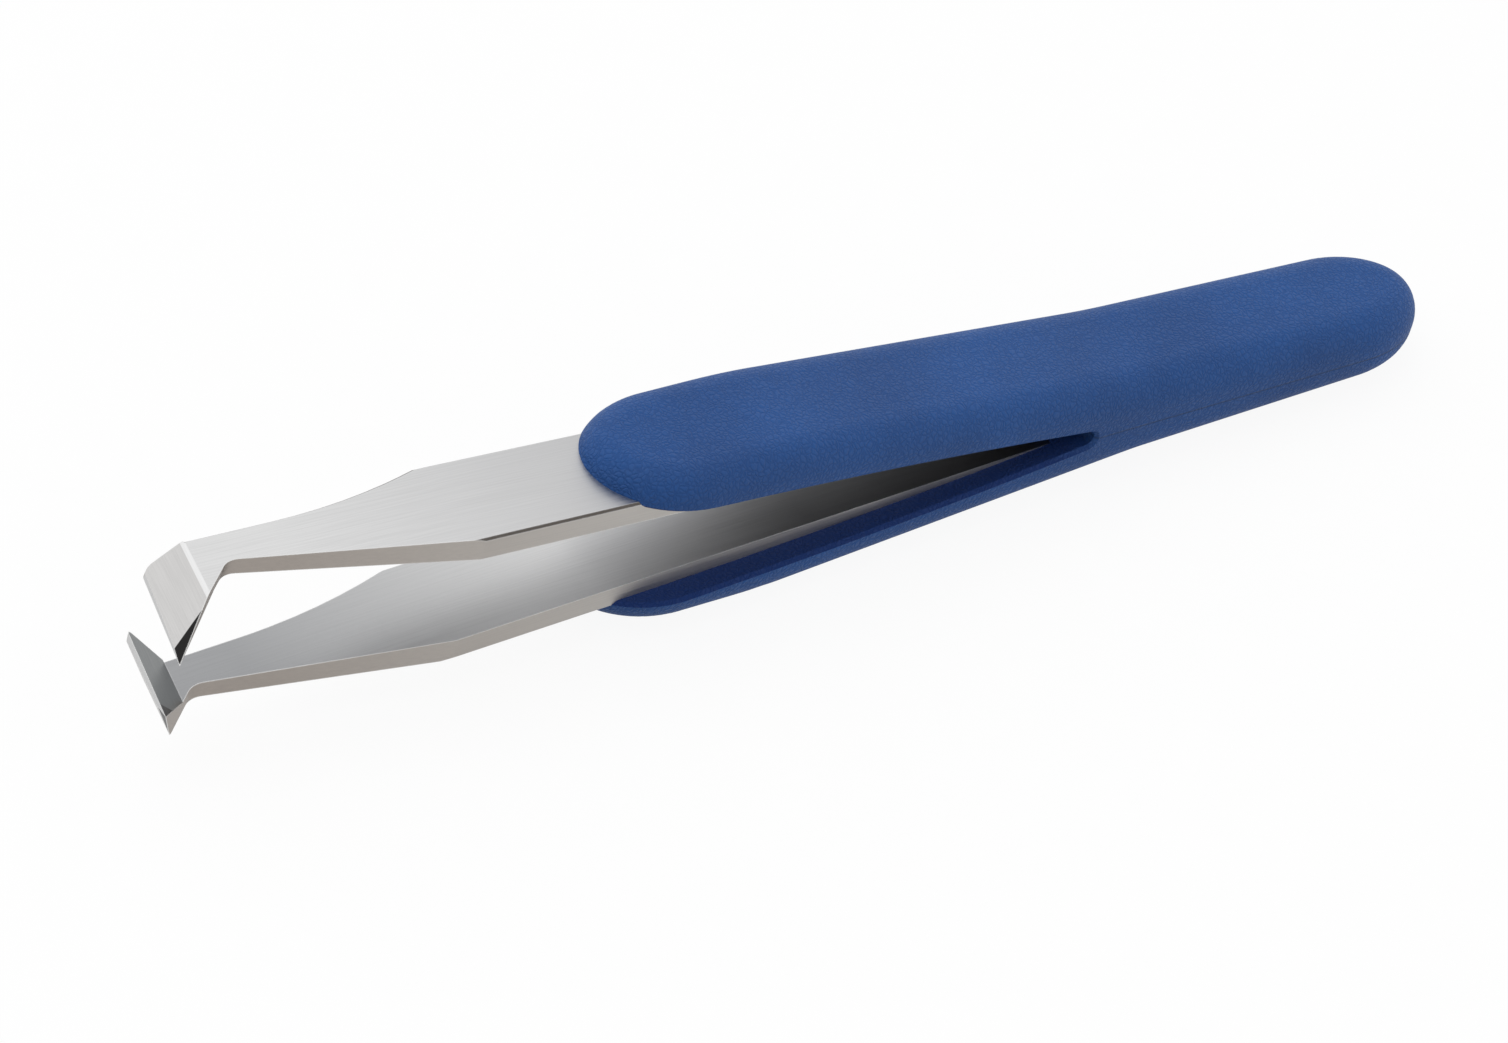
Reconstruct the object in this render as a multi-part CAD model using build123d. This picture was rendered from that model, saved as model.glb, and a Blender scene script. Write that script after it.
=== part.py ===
"""Cutting tweezers: two spring steel arms with oblique heads in one soft grip.

Everything is shaped about the plane between the arms: X from the tips to
the rear, Y across the arms, Z towards the upper arm. The last lines lay the
finished pieces down on the floor.
"""
import os
from math import asin, atan2, cos, radians, sin, tan

from build123d import *

# whole tool
overall = 120.6
rest_tilt = 4.1

# arms
opening = 3.2
steel = 2.05
neck_steel = 1.4
neck_lift = 0.3
half_width = 4.35
tail_half_width = 3.65
shoulder = 27.3
shoulder_stagger = 1.2
thin_from = 28.0
neck_half = 2.55
neck_end = 12.0
neck_near = 0.3
fillet_radius = 2.0
flare_angle = 39.4
flare_foot = 6.2
tail_length = 11.2
tail_cover = 8.6
tail_end = overall - tail_cover
root = tail_end - tail_length
edge_break = 0.2
bend_round = 0.5

# cutting heads
bend_at = 4.9
bend_skew = 12.7
bend_step = 1.48
inner_turn = 44.0
outer_turn = 65.0
flange_reach = 3.25
land_lean = 9.0
land_skew = 2.4
far_lean = 19.0
facet_top = 0.84
corner_round = 0.6

# grip
nose = 39.8
nose_length = 8.0
rear_length = 7.5
grip_half_width = 6.15
grip_rear_half_width = 5.2
front_height = 7.45
middle_height = 4.05
rear_height = 2.9
fall_start = 55.5
rear_run = 29.6
fall_round = 60.0
fall_end = overall - rear_run
shell_round = 2.8
web_length = 14.9
slot_end = root - web_length
slot_end_half = 0.7
proud_front = 1.45
proud_middle = 1.15
rim_break = 0.3


def across(point, outward):
    """Block that lies on the outward side of a plane."""
    plane = Plane(origin=point, z_dir=outward)
    return plane * Box(60, 60, 60, align=(Align.CENTER, Align.CENTER, Align.MIN))


def arm_side():
    """Bent strip from the side: flat tail, straight arm, thinned neck."""
    turn = radians(opening)
    tail = tail_end - root
    front = bend_at - 12
    loop = Polyline(
        (root, 0),
        (root + tail * cos(turn), tail * sin(turn)),
        (root + tail * cos(turn) - steel * sin(turn), tail * sin(turn) + steel * cos(turn)),
        (root - steel * tan(turn / 2), steel),
        (thin_from, steel),
        (bend_at, neck_lift + neck_steel),
        (front, neck_lift + neck_steel),
        (front, neck_lift),
        (bend_at, neck_lift),
        (thin_from, 0),
        close=True,
    )
    return extrude(Plane.XZ * make_face(loop), amount=20, both=True)


def arm_plan():
    """Plan of one arm: parallel tail, shoulders, narrow neck, flared front."""
    far_shoulder = shoulder - shoulder_stagger
    rise = half_width - neck_half
    run = far_shoulder - neck_end
    bow = (rise * rise + run * run) / (2 * rise)
    mid = asin(run / bow) / 2
    front = bend_at - 19
    flare_y = -neck_near - tan(radians(flare_angle)) * (flare_foot - front)
    far = Line((front, neck_half), (neck_end, neck_half))
    middle = (neck_end + bow * sin(mid), neck_half + bow * (1 - cos(mid)))
    curve = ThreePointArc(far @ 1, middle, (far_shoulder, half_width))
    rest = Polyline(
        curve @ 1,
        (tail_end + 1, tail_half_width),
        (tail_end + 1, -tail_half_width),
        (shoulder, -half_width),
        (flare_foot, -neck_near),
        (front, flare_y),
        far @ 0,
    )
    face = make_face([far, curve, rest])
    foot = face.vertices().sort_by_distance((flare_foot, -neck_near))[0]
    return extrude(fillet(foot, fillet_radius), amount=8, both=True)


def head(along, ahead):
    """Bent cutting flange: a wedge ground flat on every side."""
    bend = Vector(bend_at, 0, 0)
    up = Vector(0, 0, 1)
    deep = flange_reach * 1.6
    frame = Plane(origin=bend, x_dir=ahead, z_dir=ahead.cross(up))
    wedge = Polyline(
        (0, neck_lift),
        (bend_step, neck_lift + neck_steel),
        (bend_step + (neck_steel + deep) / tan(radians(outer_turn)), neck_lift - deep),
        (deep / tan(radians(inner_turn)), neck_lift - deep),
        close=True,
    )
    flange = extrude(frame * make_face(wedge), amount=14, both=True)
    # narrow land that ends in the cutting edge
    lean = radians(land_lean)
    skew = radians(land_skew)
    edge = bend + ahead * flange_reach + up * (neck_lift - flange_reach * tan(radians(inner_turn)))
    flange -= across(edge, ahead * cos(skew) + along * sin(skew) - up * tan(lean))
    # slanted far border
    slant = radians(far_lean)
    far_end = (neck_half - bend_step * ahead.Y) / along.Y
    corner = bend + ahead * bend_step + along * far_end + up * (neck_lift + neck_steel)
    flange -= across(corner, Vector(0.14, cos(slant), sin(slant)))
    # flared near border and the small facet at the near end of the edge
    flare = radians(flare_angle)
    flange -= across((flare_foot, -neck_near, 0), Vector(sin(flare), -cos(flare), 0))
    facet = bend + ahead * 1.89 - along * 4.14 + up * facet_top
    flange -= across(facet, Vector(-0.9, 0.07, 0.43))
    # rounded far corner of the edge
    far_corner = flange.edges().sort_by_distance(edge + (along + up * 0.15) * (far_end + flange_reach * 0.34))[0]
    return fillet(far_corner, corner_round)


def arm():
    """Upper arm at its opening angle."""
    skew = radians(bend_skew)
    along = Vector(sin(skew), cos(skew), 0)
    ahead = Vector(-cos(skew), sin(skew), 0)
    mitre = atan2(bend_step, neck_steel)
    strip = arm_side() & arm_plan()
    strip -= across((bend_at, 0, neck_lift), ahead * cos(mitre) - Vector(0, 0, sin(mitre)))
    body = strip + head(along, ahead)
    # soft outer bend and broken edges along the outer face
    bend_line = Vector(bend_at, 0, neck_lift + neck_steel) + ahead * bend_step
    body = fillet(body.edges().sort_by_distance(bend_line)[0], bend_round)
    face = body.edges().filter_by(lambda e: neck_steel < e.center().Z and bend_at < e.center().X < root)
    far_rim = face.filter_by(lambda e: e.center().Y > neck_half / 2 and e.length > neck_steel / 2)
    near_rim = face.filter_by(lambda e: e.center().Y < -neck_half and e.center().X > thin_from)
    body = chamfer(far_rim + near_rim, edge_break)
    return Pos(root, 0, 0) * Rot(0, opening, 0) * Pos(-root, 0, 0) * body


def grip_plan():
    """Plan of the moulding: rounded nose, slow taper, rounded rear."""
    front = (nose + nose_length, 0)
    rear = (overall - rear_length, 0)
    tip = EllipticalCenterArc(front, nose_length, grip_half_width, start_angle=90, arc_size=180)
    back = EllipticalCenterArc(rear, rear_length, grip_rear_half_width, start_angle=270, arc_size=180)
    return make_face([tip, Line(tip @ 1, back @ 0), back, Line(back @ 1, tip @ 0)])


def grip_side():
    """Side outline of the moulding: level front, then falling to the rear."""
    front = nose - 6
    rear = overall + 2
    half = Polyline(
        (front, 0),
        (front, front_height),
        (fall_start, front_height),
        (fall_end, middle_height),
        (rear, rear_height),
        (rear, 0),
        close=True,
    )
    face = make_face(half)
    kinks = face.vertices().filter_by(lambda v: nose < v.X < overall and v.Y > 0)
    solid = extrude(Plane.XZ * fillet(kinks, fall_round), amount=20, both=True)
    return solid + mirror(solid, about=Plane.XY)


def slot():
    """Wedge slot between the branches, widening to the front, round at its end."""
    fall = tan(radians(opening))
    front = nose - 6
    middle = (slot_end + nose) / 2
    high = (front, (root - front) * fall + proud_front)
    mid = (middle, (root - middle) * fall + proud_middle)
    end = slot_end - slot_end_half
    upper_side = ThreePointArc(high, mid, (end, slot_end_half))
    turn = ThreePointArc((end, slot_end_half), (slot_end, 0), (end, -slot_end_half))
    lower_side = ThreePointArc((end, -slot_end_half), (mid[0], -mid[1]), (high[0], -high[1]))
    loop = make_face([upper_side, turn, lower_side, Line(lower_side @ 1, high)])
    return extrude(Plane.XZ * loop, amount=20, both=True)


def grip(arms):
    """Soft moulding over both arms, in one piece."""
    body = extrude(grip_plan(), amount=20, both=True) & grip_side()
    rims = body.edges().filter_by(lambda e: abs(e.center().Z) > rear_height / 2)
    body = fillet(rims.filter_by(lambda e: e.bounding_box().size.X > rear_height / 4), shell_round)
    wedge = slot()
    cut = body - wedge
    body = chamfer(new_edges(body, wedge, combined=cut), rim_break)
    return body - arms


upper = arm()
lower = mirror(upper, about=Plane.XY)
sleeve = grip([upper, lower])

# laid down on the lower branch of the grip, centred over the origin
pieces = {"upper_arm": upper, "lower_arm": lower, "grip": sleeve}
laid = {name: Rot(0, rest_tilt, 0) * piece for name, piece in pieces.items()}
span = Compound(list(laid.values())).bounding_box()
place = Pos(-span.center().X, -span.center().Y, -span.min.Z)
os.makedirs("parts", exist_ok=True)
for name, piece in laid.items():
    export_step(place * piece, f"parts/{name}.step")
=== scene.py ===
"""Looks of the cutting tweezers: two spring steel arms, the moulded grip, the table and its light, the camera."""
import math

import bpy
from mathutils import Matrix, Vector

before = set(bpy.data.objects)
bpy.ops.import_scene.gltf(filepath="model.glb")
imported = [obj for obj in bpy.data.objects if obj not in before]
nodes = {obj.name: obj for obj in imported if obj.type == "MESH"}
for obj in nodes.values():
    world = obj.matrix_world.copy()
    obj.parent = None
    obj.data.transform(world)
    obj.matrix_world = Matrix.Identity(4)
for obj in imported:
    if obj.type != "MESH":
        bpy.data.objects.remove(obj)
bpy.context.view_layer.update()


# The arms are two strips of stainless spring steel, blanked, ground thin
# toward the tips and welded tail to tail inside the grip. Their flats are
# brushed along the strip, the short bent heads along the bend.

def linear(hex_color):
    """The linear colour of an sRGB hex value."""
    channels = [int(hex_color[i:i + 2], 16) / 255 for i in (1, 3, 5)]
    return (*(c / 12.92 if c <= 0.04045 else ((c + 0.055) / 1.055) ** 2.4 for c in channels), 1.0)


def add(tree, kind, settings=None, inputs=None):
    """A new node with its settings, and its inputs set or linked."""
    node = tree.nodes.new(kind)
    for key, value in (settings or {}).items():
        setattr(node, key, value)
    for key, value in (inputs or {}).items():
        if isinstance(value, bpy.types.NodeSocket):
            tree.links.new(value, node.inputs[key])
        else:
            node.inputs[key].default_value = value
    return node


def spring_steel(name, tip, turn, outward):
    """Brushed stainless spring steel: pale fine-lined flats, warmer and duller sides, thin painted highlights on the
    edges, painted reflections and shade.

    tip, turn and outward lay the arm's own axes: X from its tip along the strip, Z out of the gap.
    """
    steel = bpy.data.materials.new(name)
    steel.use_nodes = True
    tree = steel.node_tree
    tree.nodes.clear()
    object_axes = add(tree, "ShaderNodeTexCoord")
    own_axes = {"Rotation": (0, math.radians(turn), 0), "Scale": (1, 1, outward)}
    place = add(tree, "ShaderNodeMapping", None,
                {"Vector": object_axes.outputs["Object"], "Location": tip, **own_axes}).outputs[0]
    facing = add(tree, "ShaderNodeMapping", {"vector_type": "VECTOR"},
                 {"Vector": object_axes.outputs["Normal"], **own_axes}).outputs[0]
    toward = add(tree, "ShaderNodeSeparateXYZ", None, {0: facing}).outputs

    # a 240 grit belt leaves lines about 0.06 mm wide: drawn 0.12 mm wide to show, 12 mm long
    line_width, line_length = 0.00012, 0.012
    strip = add(tree, "ShaderNodeMapping", None,
                {"Vector": place, "Scale": (1 / line_length, 1 / line_width, 1 / line_width)}).outputs[0]
    strip_lines = add(tree, "ShaderNodeTexNoise", None,
                      {"Vector": strip, "Scale": 1.0, "Detail": 2.0}).outputs[0]
    # the bend runs 12.7 degrees askew, and the head's lines run with it, 5 mm long
    bend_skew, head_line_length = 12.7, 0.005
    bend = add(tree, "ShaderNodeMapping", None,
               {"Vector": place, "Rotation": (0, 0, math.radians(bend_skew))}).outputs[0]
    bend = add(tree, "ShaderNodeMapping", None,
               {"Vector": bend, "Scale": (1 / line_width, 1 / head_line_length, 1 / line_width)}).outputs[0]
    head_lines = add(tree, "ShaderNodeTexNoise", None,
                     {"Vector": bend, "Scale": 1.0, "Detail": 2.0}).outputs[0]

    # the head's faces slope, the blanked sides stand up, and the broken edges lie between side and flat
    slope = add(tree, "ShaderNodeMath", {"operation": "MULTIPLY"},
                {0: toward["X"], 1: toward["Z"]}).outputs[0]
    slope = add(tree, "ShaderNodeMath", {"operation": "ABSOLUTE"}, {0: slope}).outputs[0]
    head = add(tree, "ShaderNodeMapRange", None,
               {"Value": slope, "From Min": 0.22, "From Max": 0.34}).outputs[0]
    flatness = add(tree, "ShaderNodeMath", {"operation": "ABSOLUTE"}, {0: toward["Z"]}).outputs[0]
    side = add(tree, "ShaderNodeMapRange", None,
               {"Value": flatness, "From Min": 0.5, "From Max": 0.3}).outputs[0]
    # the narrow land along the cutting edge faces the tip, and is ground bright like the head
    endways = add(tree, "ShaderNodeMath", {"operation": "ABSOLUTE"}, {0: toward["X"]}).outputs[0]
    land = add(tree, "ShaderNodeMapRange", None,
               {"Value": endways, "From Min": 0.85, "From Max": 0.92}).outputs[0]
    tilt = add(tree, "ShaderNodeMath", {"operation": "MULTIPLY"},
               {0: toward["Y"], 1: toward["Z"]}).outputs[0]
    tilt = add(tree, "ShaderNodeMath", {"operation": "ABSOLUTE"}, {0: tilt}).outputs[0]
    broken_edge = add(tree, "ShaderNodeMapRange", None,
                      {"Value": tilt, "From Min": 0.26, "From Max": 0.38}).outputs[0]
    inward = add(tree, "ShaderNodeMapRange", None,
                 {"Value": toward["Z"], "From Min": 0.1, "From Max": -0.1}).outputs[0]
    # painted reflection: the head's inner face is painted dark grey for the other head reflected in it
    inner_head_reflection = add(tree, "ShaderNodeMath", {"operation": "MULTIPLY"}, {0: head, 1: inward}).outputs[0]
    # the small facet at the head's near end starts 3.66 mm off the middle and leans with the flange; painted shade
    # makes it nearly black
    facet_start, facet_lean, soft_border = 0.00366, 0.0465, 0.00005
    near = add(tree, "ShaderNodeVectorMath", {"operation": "DOT_PRODUCT"},
               {0: place, 1: (0, -1, facet_lean)}).outputs["Value"]
    facet_shade = add(tree, "ShaderNodeMapRange", None,
                {"Value": near, "From Min": facet_start, "From Max": facet_start + soft_border}).outputs[0]
    facet_shade = add(tree, "ShaderNodeMath", {"operation": "MULTIPLY"}, {0: facet_shade, 1: head}).outputs[0]

    lines = add(tree, "ShaderNodeMixRGB", None,
                {"Fac": head, "Color1": strip_lines, "Color2": head_lines}).outputs[0]
    # painted reflection: between 11 and 41 mm from the tip the outer flat turns darker, and the inner flat,
    # painted dark at the front for the other arm reflected in it, turns lighter; the sides turn lighter there too
    tone_shift_start, tone_shift_end = 0.011, 0.041
    run = add(tree, "ShaderNodeSeparateXYZ", None, {0: place}).outputs["X"]
    rearward = add(tree, "ShaderNodeMapRange", None,
                   {"Value": run, "From Min": tone_shift_start, "From Max": tone_shift_end}).outputs[0]
    outer_flat = add(tree, "ShaderNodeMixRGB", None,
                     {"Fac": rearward, "Color1": linear("#E2E2E2"), "Color2": linear("#C9C9CA")}).outputs[0]
    inner_flat = add(tree, "ShaderNodeMixRGB", None,
                     {"Fac": rearward, "Color1": linear("#A8A9AB"), "Color2": linear("#E0E0E0")}).outputs[0]
    # painted shade: from 40 mm on the inner flat turns darker and darker, up to the weld
    shade_start, shade_full = 0.04, 0.06
    inner_shade = add(tree, "ShaderNodeMapRange", None,
                       {"Value": run, "From Min": shade_start, "From Max": shade_full}).outputs[0]
    inner_flat = add(tree, "ShaderNodeMixRGB", None,
                     {"Fac": inner_shade, "Color1": inner_flat, "Color2": linear("#989899")}).outputs[0]
    blanked_side = add(tree, "ShaderNodeMixRGB", None,
                       {"Fac": rearward, "Color1": linear("#B1A9A2"), "Color2": linear("#C9C5C0")}).outputs[0]
    # painted reflection on the broken edges: dark on the outer edges, a painted highlight on the inner edges
    edge_reflection = add(tree, "ShaderNodeMixRGB", None,
                    {"Fac": inward, "Color1": linear("#5E5955"), "Color2": linear("#EFEDEA")}).outputs[0]
    tone = add(tree, "ShaderNodeMixRGB", None,
               {"Fac": inward, "Color1": outer_flat, "Color2": inner_flat}).outputs[0]
    for share, finish in ((head, linear("#F4F4F4")), (side, blanked_side), (land, linear("#DEDEDE")),
                          (inner_head_reflection, linear("#7E8182")), (facet_shade, linear("#2E2D2D")), (broken_edge, edge_reflection)):
        tone = add(tree, "ShaderNodeMixRGB", None,
                   {"Fac": share, "Color1": tone, "Color2": finish}).outputs[0]
    groove = add(tree, "ShaderNodeMapRange", None,
                 {"Value": lines, "From Min": 0.3, "From Max": 0.7, "To Min": 0.9, "To Max": 1.0}).outputs[0]
    tone = add(tree, "ShaderNodeMixRGB", {"blend_type": "MULTIPLY"},
               {"Fac": 1.0, "Color1": tone, "Color2": groove}).outputs[0]
    # painted highlight along the sharp edges, 0.14 mm wide on both faces
    highlight_width = 0.00014
    edge_highlight = add(tree, "ShaderNodeBevel", {"samples": 4}, {"Radius": highlight_width}).outputs[0]
    edge_highlight = add(tree, "ShaderNodeVectorMath", {"operation": "DOT_PRODUCT"},
                 {0: edge_highlight, 1: add(tree, "ShaderNodeNewGeometry").outputs["Normal"]}).outputs["Value"]
    edge_highlight = add(tree, "ShaderNodeMapRange", None,
                 {"Value": edge_highlight, "From Min": 0.97, "From Max": 0.84}).outputs[0]
    tone = add(tree, "ShaderNodeMixRGB", None,
               {"Fac": edge_highlight, "Color1": tone, "Color2": linear("#F2F2F1")}).outputs[0]

    rough = add(tree, "ShaderNodeMapRange", None,
                {"Value": lines, "From Min": 0.3, "From Max": 0.7, "To Min": 0.28, "To Max": 0.4}).outputs[0]
    rough = add(tree, "ShaderNodeMath", {"operation": "MULTIPLY_ADD"},
                {0: side, 1: 0.12, 2: rough}).outputs[0]
    relief = add(tree, "ShaderNodeBump", None,
                 {"Height": lines, "Strength": 0.15, "Distance": 0.00003}).outputs[0]
    shader = add(tree, "ShaderNodeBsdfPrincipled", None,
                 {"Base Color": tone, "Roughness": rough, "Normal": relief, "Metallic": 1.0})
    add(tree, "ShaderNodeOutputMaterial", None, {"Surface": shader.outputs[0]})
    return steel


# each arm lies 3.2 degrees off the middle of the tweezers, which are tilted by 4.1 degrees
arm_axes = {"upper_arm": ((0.061271, 0, -0.009386), -7.3, 1), "lower_arm": ((0.060471, 0, 0.004922), 0.9, -1)}
for arm_name, (tip, turn, outward) in arm_axes.items():
    arm = nodes[arm_name]
    arm.data.materials.clear()
    arm.data.materials.append(spring_steel("brushed_spring_steel_" + arm_name[:5], tip, turn, outward))


# The grip is one piece of blue thermoplastic rubber, moulded over the arms'
# tails. It is satin and faintly mottled by the tool's leather grain, and the
# tool's parting line runs round its solid rear part.

rubber = bpy.data.materials.new("grained_thermoplastic_rubber")
rubber.use_nodes = True
tree = rubber.node_tree
tree.nodes.clear()
object_axes = add(tree, "ShaderNodeTexCoord")
# the grip's own axes: X along it, Z = 0 on the tool's parting plane
grip_tilt = math.radians(-4.1)
grip_place = add(tree, "ShaderNodeMapping", None,
                 {"Vector": object_axes.outputs["Object"], "Location": (0.060808, 0, -0.007165),
                  "Rotation": (0, grip_tilt, 0)}).outputs[0]
# leather grain: creases round cells of 0.42 mm with 0.18 mm wrinkles in them, a little coarser than
# the real grain of about 0.3 mm so that it shows, and swaying over 1.2 mm
cell, wrinkle, sway_length = 0.00042, 0.00018, 0.0012
sway = add(tree, "ShaderNodeTexNoise", None,
           {"Vector": grip_place, "Scale": 1 / sway_length, "Detail": 2.0})
bent = add(tree, "ShaderNodeVectorMath", {"operation": "MULTIPLY_ADD"},
           {0: sway.outputs["Color"], 1: (0.0009, 0.0009, 0.0009), 2: grip_place}).outputs[0]
cells = add(tree, "ShaderNodeTexVoronoi", {"feature": "DISTANCE_TO_EDGE"},
            {"Vector": bent, "Scale": 1 / cell})
cells = add(tree, "ShaderNodeMapRange", {"interpolation_type": "SMOOTHSTEP"},
            {"Value": cells.outputs["Distance"], "From Min": 0.0, "From Max": 0.28}).outputs[0]
wrinkles = add(tree, "ShaderNodeTexNoise", None,
               {"Vector": bent, "Scale": 1 / wrinkle, "Detail": 2.0}).outputs[0]
grain = add(tree, "ShaderNodeMath", {"operation": "MULTIPLY_ADD"},
            {0: wrinkles, 1: 0.9, 2: cells}).outputs[0]
# the parting line is a groove 0.16 mm wide, wider than the real one so that it shows
parting_core, parting_border = 0.00004, 0.00012
off_parting = add(tree, "ShaderNodeSeparateXYZ", None, {0: grip_place}).outputs["Z"]
off_parting = add(tree, "ShaderNodeMath", {"operation": "ABSOLUTE"}, {0: off_parting}).outputs[0]
parting = add(tree, "ShaderNodeMapRange", {"interpolation_type": "SMOOTHSTEP"},
              {"Value": off_parting, "From Min": parting_border, "From Max": parting_core}).outputs[0]
height = add(tree, "ShaderNodeMath", {"operation": "MULTIPLY_ADD"},
             {0: parting, 1: -0.7, 2: grain}).outputs[0]
# the pigment lies in soft clouds of about 9 mm
cloud_size = 0.009
cloud = add(tree, "ShaderNodeTexNoise", None,
            {"Vector": grip_place, "Scale": 1 / cloud_size, "Detail": 2.0}).outputs[0]
cloud = add(tree, "ShaderNodeMapRange", None, {"Value": cloud, "From Min": 0.3, "From Max": 0.7}).outputs[0]
blue = add(tree, "ShaderNodeMixRGB", None,
           {"Fac": cloud, "Color1": linear("#06417F"), "Color2": linear("#0E4B8E")}).outputs[0]
# painted shade: the grain's creases are painted a darker blue
crease_shade = add(tree, "ShaderNodeMapRange", None,
             {"Value": grain, "From Min": 0.9, "From Max": 0.3, "To Min": 0.0, "To Max": 0.35}).outputs[0]
blue = add(tree, "ShaderNodeMixRGB", None,
           {"Fac": crease_shade, "Color1": blue, "Color2": linear("#022C62")}).outputs[0]
blue = add(tree, "ShaderNodeMixRGB", None,
           {"Fac": parting, "Color1": blue, "Color2": linear("#063568")}).outputs[0]
# painted shade: the slot's faces, which turn to the parting plane, are painted a deeper navy for the shade between
# the branches
toward_parting = add(tree, "ShaderNodeMapping", {"vector_type": "VECTOR"},
               {"Vector": object_axes.outputs["Normal"], "Rotation": (0, grip_tilt, 0)}).outputs[0]
toward_parting = add(tree, "ShaderNodeSeparateXYZ", None, {0: toward_parting}).outputs["Z"]
toward_parting = add(tree, "ShaderNodeMath", {"operation": "MULTIPLY"},
               {0: toward_parting, 1: add(tree, "ShaderNodeSeparateXYZ", None, {0: grip_place}).outputs["Z"]}).outputs[0]
slot_face = add(tree, "ShaderNodeMapRange", None,
                {"Value": toward_parting, "From Min": -0.0002, "From Max": -0.0009}).outputs[0]
blue = add(tree, "ShaderNodeMixRGB", None,
           {"Fac": slot_face, "Color1": blue, "Color2": linear("#012A66")}).outputs[0]
rough = add(tree, "ShaderNodeMapRange", None,
            {"Value": grain, "From Min": 0.2, "From Max": 1.8, "To Min": 0.62, "To Max": 0.46}).outputs[0]
rough = add(tree, "ShaderNodeMath", {"operation": "MULTIPLY_ADD"},
            {0: slot_face, 1: 0.25, 2: rough}).outputs[0]
relief = add(tree, "ShaderNodeBump", None,
             {"Height": height, "Strength": 0.7, "Distance": 0.00006}).outputs[0]
shader = add(tree, "ShaderNodeBsdfPrincipled", None,
             {"Base Color": blue, "Roughness": rough, "Normal": relief, "IOR": 1.46, "Metallic": 0.0})
add(tree, "ShaderNodeOutputMaterial", None, {"Surface": shader.outputs[0]})
grip = nodes["grip"]
grip.data.materials.clear()
grip.data.materials.append(rubber)


# The table is a matt white painted board in an even white studio. It is
# shown as the white background and keeps a faint part of the tweezers'
# shadow, which the steel reflects more strongly.

paint = bpy.data.materials.new("matt_white_paint")
paint.use_nodes = True
tree = paint.node_tree
tree.nodes.clear()
path = add(tree, "ShaderNodeLightPath")
# how much of it is plain background white, to the camera and in reflections
white_to_camera, white_in_reflections = 0.92, 0.5
reflected = add(tree, "ShaderNodeMath", {"operation": "ADD", "use_clamp": True},
                {0: path.outputs["Is Glossy Ray"], 1: path.outputs["Is Transmission Ray"]}).outputs[0]
reflected = add(tree, "ShaderNodeMath", {"operation": "MULTIPLY"},
                {0: reflected, 1: white_in_reflections}).outputs[0]
seen = add(tree, "ShaderNodeMath", {"operation": "MULTIPLY_ADD", "use_clamp": True},
           {0: path.outputs["Is Camera Ray"], 1: white_to_camera, 2: reflected}).outputs[0]
# roller marks of the paint, about 4 mm apart and hardly seen
mark_spacing = 0.004
marks = add(tree, "ShaderNodeTexNoise", None,
            {"Vector": add(tree, "ShaderNodeTexCoord").outputs["Object"], "Scale": 1 / mark_spacing}).outputs[0]
white = add(tree, "ShaderNodeMixRGB", None,
            {"Fac": marks, "Color1": linear("#F6F6F6"), "Color2": linear("#FFFFFF")}).outputs[0]
# what it throws back on the tweezers is dimmer than what is seen of it
white = add(tree, "ShaderNodeMixRGB", None,
            {"Fac": path.outputs["Is Camera Ray"], "Color1": linear("#DADADA"), "Color2": white}).outputs[0]
board = add(tree, "ShaderNodeBsdfDiffuse", None, {"Color": white})
background = add(tree, "ShaderNodeEmission", None, {"Color": linear("#FFFFFF"), "Strength": 1.0})
table_top = add(tree, "ShaderNodeMixShader", None, {0: seen, 1: board.outputs[0], 2: background.outputs[0]})
add(tree, "ShaderNodeOutputMaterial", None, {"Surface": table_top.outputs[0]})
bpy.ops.mesh.primitive_plane_add(size=3, location=(0, 0, -0.0002))
table = bpy.context.object
table.name = "white_table"
table.data.materials.append(paint)


# The light is a white room, dimmer than it looks and dimmest before the
# tips, with a large soft lamp behind the tips and a weak low one on the near
# side of the grip.

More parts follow.
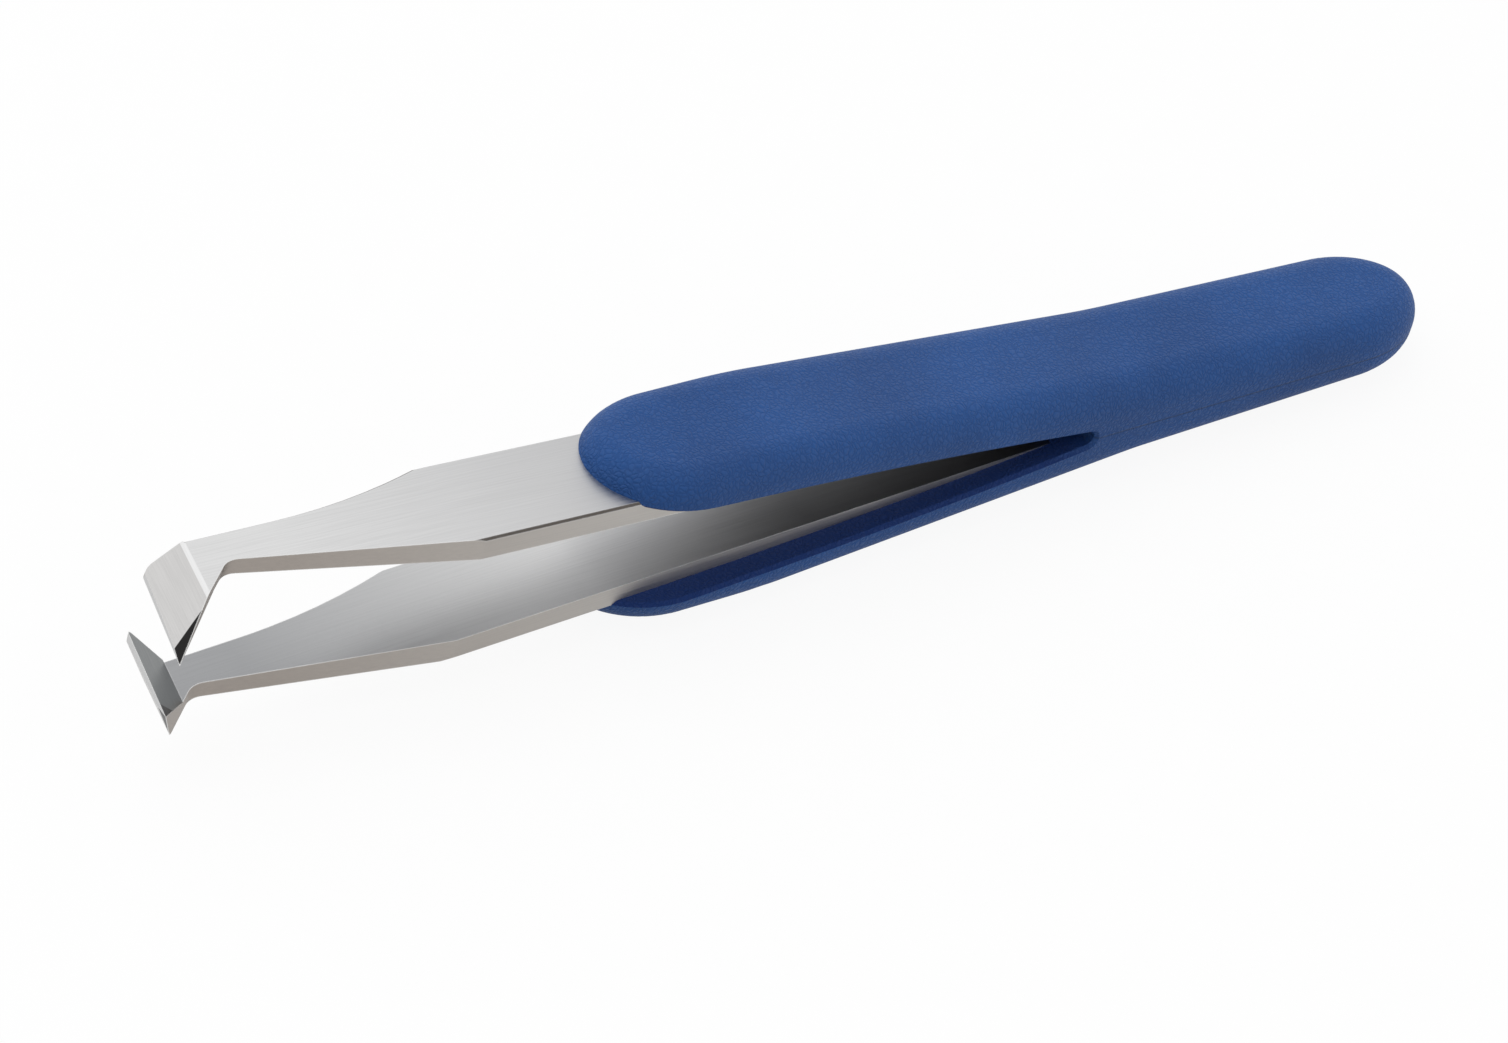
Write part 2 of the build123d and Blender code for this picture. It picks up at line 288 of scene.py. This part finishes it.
room = bpy.data.worlds.new("white_studio")
bpy.context.scene.world = room
room.use_nodes = True
tree = room.node_tree
tree.nodes.clear()
path = add(tree, "ShaderNodeLightPath")
seen = add(tree, "ShaderNodeMath", {"operation": "ADD", "use_clamp": True},
           {0: path.outputs["Is Camera Ray"], 1: path.outputs["Is Glossy Ray"]}).outputs[0]
seen = add(tree, "ShaderNodeMath", {"operation": "ADD", "use_clamp": True},
           {0: seen, 1: path.outputs["Is Transmission Ray"]}).outputs[0]
# its strength runs from 0.1 before the tips to 0.66 overhead and behind the grip
direction = add(tree, "ShaderNodeTexCoord").outputs["Generated"]
rear_and_up = add(tree, "ShaderNodeVectorMath", {"operation": "DOT_PRODUCT"},
                  {0: direction, 1: (0.72, 0.25, 0.65)}).outputs["Value"]
room_light = add(tree, "ShaderNodeMapRange", None,
                 {"Value": rear_and_up, "From Min": -0.7, "From Max": 0.7, "To Min": 0.1, "To Max": 0.66}).outputs[0]
lighting = add(tree, "ShaderNodeBackground", None, {"Color": linear("#FFFFFF"), "Strength": room_light})
background = add(tree, "ShaderNodeBackground", None, {"Color": linear("#FFFFFF"), "Strength": 1.0})
walls = add(tree, "ShaderNodeMixShader", None, {0: seen, 1: lighting.outputs[0], 2: background.outputs[0]})
add(tree, "ShaderNodeOutputWorld", None, {"Surface": walls.outputs[0]})

for name, place, width, watts in (("soft_lamp", Vector((-0.30, 0.35, 0.65)), 1.15, 5.0),
                                  ("low_lamp", Vector((0.35, -0.50, 0.15)), 0.5, 0.8)):
    lamp = bpy.data.lights.new(name, "AREA")
    lamp.energy = watts
    lamp.size = width
    stand = bpy.data.objects.new(name, lamp)
    bpy.context.collection.objects.link(stand)
    stand.location = place
    stand.rotation_euler = (-place).to_track_quat("-Z", "Y").to_euler()
    # the steel reflects the white room alone, so that no lamp burns out on it
    stand.visible_glossy = False


# The camera looks down 42 degrees from the tips' near side with a long
# lens, as the photograph was taken.

camera = bpy.data.cameras.new("camera")
camera.lens = 312.75
tripod = bpy.data.objects.new("camera", camera)
bpy.context.collection.objects.link(tripod)
tripod.location = (-0.506678, -0.545090, 0.676626)
tripod.rotation_euler = [math.radians(a) for a in (46.9767, -9.8286, -33.7263)]
bpy.context.scene.camera = tripod
bpy.context.scene.view_settings.view_transform = "Standard"
